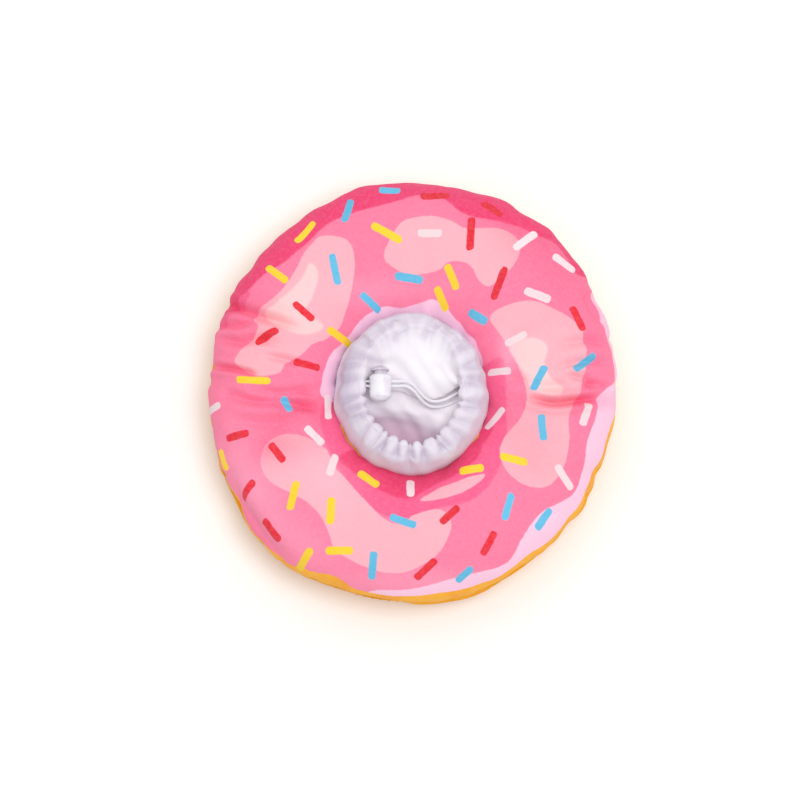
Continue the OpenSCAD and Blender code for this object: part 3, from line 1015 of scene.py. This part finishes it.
def seam_gathers(angle, up, seed, count, reach):
    """Short puckers above the foot seam. up runs from 0 at the seam."""
    draw = np.random.default_rng(seed)
    total = np.zeros(np.broadcast(angle, up).shape)
    for k in range(count):
        centre = TURN * (k + draw.uniform(-0.3, 0.3)) / count
        far = np.abs(wrapped(angle - centre)) * HOLE_SEAM_R
        long = draw.uniform(0.5, 1.0) * reach
        total += draw.uniform(0.3, 1) * np.exp(-((far / (1.6 + 8 * up)) ** 1.6) - (up / long) ** 2)
    return total


def smooth_profile(stations, knots, run):
    """A cubic curve through stations at given parameters, with slopes from their neighbours."""
    slope = np.gradient(stations, knots, axis=1)
    k = np.clip(np.searchsorted(knots, run, side="right") - 1, 0, len(knots) - 2)
    span = (knots[k + 1] - knots[k])[None, :, None]
    t = (run - knots[k])[None, :, None] / span
    a, b = stations[:, k], stations[:, k + 1]
    da, db = slope[:, k] * span, slope[:, k + 1] * span
    return (
        (2 * t**3 - 3 * t**2 + 1) * a + (t**3 - 2 * t**2 + t) * da + (3 * t**2 - 2 * t**3) * b + (t**3 - t**2) * db
    )


def foot_of(ply, inset, z):
    """The points of the hole seam below a ply's own line, at the same angles."""
    around = np.arctan2(ply[..., 1], ply[..., 0])
    return polar(hole(around) - inset, around, z)


def make_sleeve():
    """The outer ply. Its profile goes from the foot seam out to a bulge over the ring's flank, then over a
    rounded shoulder to the crest of the rim, where its edge tucks into the casing. The cord pleats its top,
    the seam puckers its foot, and there are soft puffs between."""
    knots = np.array([0, 0.13, 0.28, 0.48, 0.72, 0.88, 1.0])
    rim, out_way = rim_line(angle_ring), outwards(angle_ring)
    bulge = on_oval(BULGE_MIDDLE, BULGE_WIDE, BULGE_LONG, angle_ring)
    foot = foot_of(bulge, 0.5, FOOT_Z)
    hip = np.concatenate([bulge, np.full((*bulge.shape[:-1], 1), SEAM_Z + 16.0)], axis=-1)
    flank = 0.5 * foot + 0.5 * hip + 1.6 * out_way
    flank[..., 2] = SEAM_Z + 8
    near_rim = rim + CASING_R * (0.72 * out_way + 0.66 * UP)
    level_gap = (hip - near_rim) * (1 - UP)
    shoulder = near_rim + 0.80 * level_gap - 8.5 * UP
    upper = near_rim + 0.38 * level_gap - 1.2 * UP
    crest = rim + (0.97 * CASING_R - 0.3) * UP
    stations = [foot, flank, hip, shoulder, upper, near_rim + 0.5 * UP, crest]
    run = np.linspace(0, 1, 85)
    points = smooth_profile(np.stack(stations, axis=1)[:, :, 0], knots, run)
    normal = normals_of(points)
    normal *= np.sign((normal * (out_way + 0.6 * UP)).sum(axis=2, keepdims=True))
    out = (1 - run)[None, :]
    swell = np.sin(np.pi * np.clip(out * 1.05, 0, 1)) ** 0.9
    fold = valleys(angle_ring, out)
    soft = far_folds(points)
    depth = CREST_PLEAT + (FLANK_PLEAT - CREST_PLEAT) * smooth(out, 0.0, 0.22)
    move = 0.5 * swell * ripple(angle_ring, out, 44, 10, 9, 3) - depth * fold - 1.3 * soft
    move += 0.2 * ripple(angle_ring, out, 46, 18, 30, 8) - 0.5 * seam_gathers(angle_ring, run[None, :], 45, 40, 0.15)
    move *= smooth(run, 0, 0.05)[None, :]
    # Painted shade: deepest in the pleats' valleys, less in the soft folds, and a patch on the left side.
    shaded = fold + 0.6 * soft + 1.3 * spot(points[..., 0], points[..., 1], *LEFT_SHADE)
    sleeve = grid_piece("neck_sleeve", points + normal * move[..., None], weave=(0.45, 0.6))
    attribute(sleeve, "fold", shaded)
    solidify(sleeve, CLOTH)
    dress(sleeve, "white", "white_cloth", "neck_sleeve")


def make_casing():
    """The hem round the cord: a tube along the rim, crimped by the same pleats, most of all on its
    inner side, so that its edge is scalloped. Its outer side draws in under the sleeve's edge."""
    turn = (TURN * np.arange(40) / 40)[None, :]
    pleat = valleys(angle_ring, 0 * turn)
    inner = smooth(-np.cos(turn), -0.1, 0.9)
    near = smooth(-np.sin(angle_ring), -0.6, 0.3)
    under_sleeve = smooth(np.cos(turn), 0.02, 0.35)
    depth = CREST_PLEAT + (0.5 + 1.2 * near) * inner
    size = CASING_R - 0.9 * under_sleeve - depth * pleat + 0.12 * ripple(angle_ring, turn, 47, 14, 60, 3)
    across, up = size * np.cos(turn), 0.98 * size * np.sin(turn)
    points = rim_line(angle_ring) + across[..., None] * outwards(angle_ring) + up[..., None] * UP
    casing = grid_piece("cord_casing", points, round_columns=True, weave=(0.35, 0.7))
    # Painted shade in the pleats' valleys.
    attribute(casing, "fold", pleat)
    solidify(casing, CLOTH)
    dress(casing, "white", "white_cloth", "cord_casing")


def make_lining():
    """The inner ply: from under the casing down and out to the hole seam, with the same pleats fading."""
    down = np.linspace(0, 1, 49)[None, :]
    out_way = outwards(angle_ring)
    top = rim_line(angle_ring) - 2.4 * out_way - 3.2 * UP
    drop = foot_of(top, 2.4, FOOT_Z - 1) - top
    level = np.sin(down * np.pi / 2) ** 1.3
    sunk = (1 - np.cos(down * np.pi / 2)) ** 0.85
    points = top + drop * (level[..., None] * (1 - UP) + sunk[..., None] * UP)
    move = 1.6 * valleys(angle_ring, down) - 0.6 * ripple(angle_ring, down, 48, 12, 22, 4) * np.sin(np.pi * down)
    lining = grid_piece("sleeve_lining", points + move[..., None] * out_way, flip=True, weave=(0.4, 0.9))
    solidify(lining, CLOTH)
    dress(lining, "lining", "white_cloth", "sleeve_lining")


# The slack of the lining's far half hangs in as a swag. Each row below the rim runs from its left to its
# right end: five rows of the slope down to its lip, two of the tuck behind the lip, and seven of the lower
# layer, which hangs in the shade.
SWAG = [
    [(-33, -3, 66), (-21, 15, 72.0), (-1, 25, 74.5), (20, 13, 74), (33, -2, 68)],
    [(-33, -4, 65.5), (-18, 11.5, 68), (0, 15, 73.0), (18, 8, 72), (33, -2, 67.5)],
    [(-33, -4, 64.5), (-15, 5, 66), (2, 5, 70), (18, 2, 70), (33, -1.5, 67)],
    [(-33, -4.5, 63.5), (-12, 0, 65), (4, -4.5, 66), (18, -4, 66.5), (33, -1, 66)],
    [(-34, -5, 62.5), (-10, -4.5, 62.4), (6, -9.8, 61.8), (18, -8.6, 62.4), (33, 0, 64.5)],
    [(-34, -3, 61), (-9, -2.5, 60.4), (6, -7.5, 59.8), (17, -6.4, 60.4), (33, 2, 62.5)],
    [(-34, 0, 60), (-9, 1, 59.4), (6, -2, 58.4), (16, -1, 58.6), (33, 4, 60)],
    [(-34, -4, 59.6), (-10, -6, 58.8), (6, -11, 57), (18, -9, 57), (32, 0, 58.6)],
    [(-35, -9, 60), (-13, -11.5, 58.8), (5, -17, 58), (19, -16.5, 58.8), (33, -9, 62)],
    [(-36, -15, 58.5), (-15, -16, 57.6), (3, -20, 57.4), (20, -22.5, 58.6), (34, -15, 62)],
    [(-36, -20, 55.5), (-15, -20, 54), (1, -23, 54), (18, -29, 56), (34, -23, 60)],
    [(-36, -25, 50), (-16, -25, 48.6), (0, -28, 48.6), (15, -34.5, 51), (33, -31, 57)],
    [(-35, -34, 47), (-16, -37, 46), (0, -39, 46), (14, -41.5, 47), (29, -38, 52)],
    [(-31, -41, 45), (-16, -47, 45), (0, -50, 45), (14, -49, 45.5), (28, -43, 48)],
]

SWAG_RIM = [(5.6, 2.0, 1.6), (0.6, 4.45, 1.6), (-3.1, 3.6, 1.2)]  # rows at the rim: out, up, and down at the ends


def make_swag():
    """A hammock of slack lining. Its top edge lies under the sleeve's edge along the far half of the
    rim, comes over the rim's crest, and sinks at both ends. Curves through the rows' points both ways make the
    rest, with soft gathers where it leaves the rim."""
    rows = np.array([through(row, 22) for row in SWAG])
    turn = np.linspace(np.radians(184), np.radians(-4), rows.shape[1])
    from_end = np.minimum(turn - turn[-1], turn[0] - turn)
    at_end = (1 - smooth(from_end, 0.0, 0.3))[:, None]
    top = [rim_line(turn) + out * outwards(turn) + (up - low * at_end) * UP for out, up, low in SWAG_RIM]
    rows = np.concatenate([top, rows])
    points = np.array([through(rows[:, k], 9) for k in range(rows.shape[1])]).transpose(1, 0, 2)
    share = np.linspace(0, 1, points.shape[0])[:, None]
    side = turn[None, :]
    normal = normals_of(points, round_rows=False)
    normal *= np.sign(normal[..., 2:3] + 1e-9)
    crest = 1 / 16  # the share of the way down where the crest is
    out = np.where(share < crest, 3.0 * (crest - share), 0.5 * (share - crest))
    fold = valleys(side, out + 0 * side) * (1 - smooth(share, 0.10, 0.22))
    depth = CREST_PLEAT + 2.3 * (1 - smooth(share, 0.0, crest)) + 0.5 * smooth(share, crest, 0.13)
    soft = far_folds(points) * (1 - smooth(share, 0.22, 0.34))
    move = 0.35 * np.sin(9 * side + 40 * share) * smooth(share, 0.12, 0.3) - depth * fold - 1.3 * soft
    swag = grid_piece("lining_swag", points + normal * move[..., None], round_rows=False, weave=(0.5, 0.8))
    # Painted shade in the pleats and soft folds.
    attribute(swag, "fold", fold + 0.6 * soft)
    attribute(swag, "outer", 1 - smooth(share + 0 * side, 0.09, 0.20))
    solidify(swag, 0.5, offset=0)
    finer = swag.modifiers.new("Smooth", "SUBSURF")
    finer.levels = finer.render_levels = 1
    dress(swag, "lining", "white_cloth")


def make_casing_stitches():
    """The line of machine stitches along the casing's foot, one dash after another."""
    angle = TURN * np.arange(104) / 104
    out = outwards(angle)
    centres = rim_line(angle) + (1.0 - 0.9 * valleys(angle, 0 * angle))[:, None] * out - (CASING_R + 0.1) * UP
    along = np.stack([-out[:, 1], out[:, 0], 0 * angle], axis=-1)
    stitches = bars("casing_stitches", centres, along, np.tile(-UP, (len(angle), 1)), 1.7, 0.6)
    dress(stitches, "thread", "thread", "casing_stitches")


# ---- The draw cord ----

BEND = 2 * CORD_D
CORD_Y = -2.0
CORD_HALF_GAP = 1.6
WALL_X = -30.1
FAR_FALL = [
    (0, -2.8, 72.8), (4, -7, 69.4), (8, -10.2, 66.2), (12, -12, 64.4), (17, -12, 63.6), (22, -10.4, 63.2),
    (27, -7.6, 62.8), (32, -4.8, 62.6),
]
NEAR_FALL = [
    (0, -6.4, 72.4), (4, -10.6, 68.5), (8, -13.8, 64.9), (12, -15.4, 62.6), (17, -15.4, 61.6), (22, -14, 61),
    (27, -12, 60.7), (32, -10.2, 60.6),
]
KNOTS = [("far_cord_knot", (34, -3.4, 62.5)), ("near_cord_knot", (34.2, -9.4, 60.5))]
KNOT_R, TREFOIL_R = 1.5, 2.6


def cord_route(side, fall):
    """A free end's route: round the bend inside the casing, straight across, then down on the swag."""
    y = CORD_Y + side * CORD_HALF_GAP
    bend = [
        (WALL_X - BEND * math.cos(a), y + side * BEND * (1 - math.sin(a)), RIM_Z)
        for a in np.radians(range(0, 91, 15))
    ]
    straight = [(x, y, RIM_Z) for x in (-25, -20, -15, -10, -5)]
    return [(WALL_X - BEND, y + side * (BEND + 0.1), RIM_Z)] + bend + straight + fall


def close_ends(piece, rings, sides):
    """Closes a tube's two open ends with flat faces."""
    work = bmesh.new()
    work.from_mesh(piece.data)
    work.verts.ensure_lookup_table()
    for start in (0, (rings - 1) * sides):
        work.faces.new([work.verts[start + k] for k in range(sides)])
    bmesh.ops.recalc_face_normals(work, faces=work.faces)
    work.to_mesh(piece.data)
    work.free()


def braided_tube(name, route, sides, weave):
    """A length of cord along a route, with closed ends."""
    cord = grid_piece(name, tube_points(route, CORD_D / 2, sides), round_rows=False, round_columns=True, weave=weave)
    close_ends(cord, len(route), sides)
    dress(cord, "braid", "white_cord", name)
    return cord


def make_cord_end(name, side, fall):
    route = through(cord_route(side, fall), 6)
    cord = braided_tube(name, route, 16, (0.8, 0.43))


def make_knots():
    """An overhand knot in each free end: a tube along a trefoil line, pulled tight into a ball."""
    t = TURN * np.arange(90) / 90
    trefoil = np.stack([np.sin(t) + 2 * np.sin(2 * t), np.cos(t) - 2 * np.cos(2 * t), -1.3 * np.sin(3 * t)], axis=-1)
    knots = []
    for name, place in KNOTS:
        path = trefoil * KNOT_R / TREFOIL_R + np.array(place)
        closed = np.concatenate([path[-2:], path, path[:2]])
        points = tube_points(closed, 0.95, 12, up=(0.3, 0.2, 1))[2:-2]
        knots.append(grid_piece(name, points, round_columns=True, weave=(0.5, 0.5)))
        dress(knots[-1], "braid", "white_cord")
    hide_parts("cord_knots")
    return knots


def make_cord_loop():
    """The part of the draw cord that runs round inside the casing, from one free end to the other."""
    gap = (BEND + CORD_HALF_GAP + 0.6) / RIM_WIDE
    start = np.pi + gap - 0.02
    angle = np.linspace(start, start + TURN - 2 * gap + 0.06, 220)
    braided_tube("draw_cord", rim_line(angle), 12, (1.0, 0.58))


def finish_cad_nodes():
    """Materials for the pieces whose moulded or turned shape comes from the frame."""
    looks = {"lock_barrel": "shell", "lock_plunger": "painted_shade_plastic", "lock_spring": "steel", "cord_eyelets": "steel"}
    for node, look in looks.items():
        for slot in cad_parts[node].material_slots:
            slot.material = material(look)


# ---- Everything, with the camera and the cords first ----

stage()
far_knot, near_knot = make_knots()
make_cord_end("far_cord_end", 1, FAR_FALL)
make_cord_end("near_cord_end", -1, NEAR_FALL)
make_cord_loop()
make_covers()
make_filling()
make_allowance("outer_seam_allowance", outline, -1, "dough", "dough_print")
make_allowance("hole_seam_allowance", hole, 1, "white", "white_cloth")
make_closing_stitches()
make_sleeve()
make_casing()
make_lining()
make_swag()
make_casing_stitches()
finish_cad_nodes()
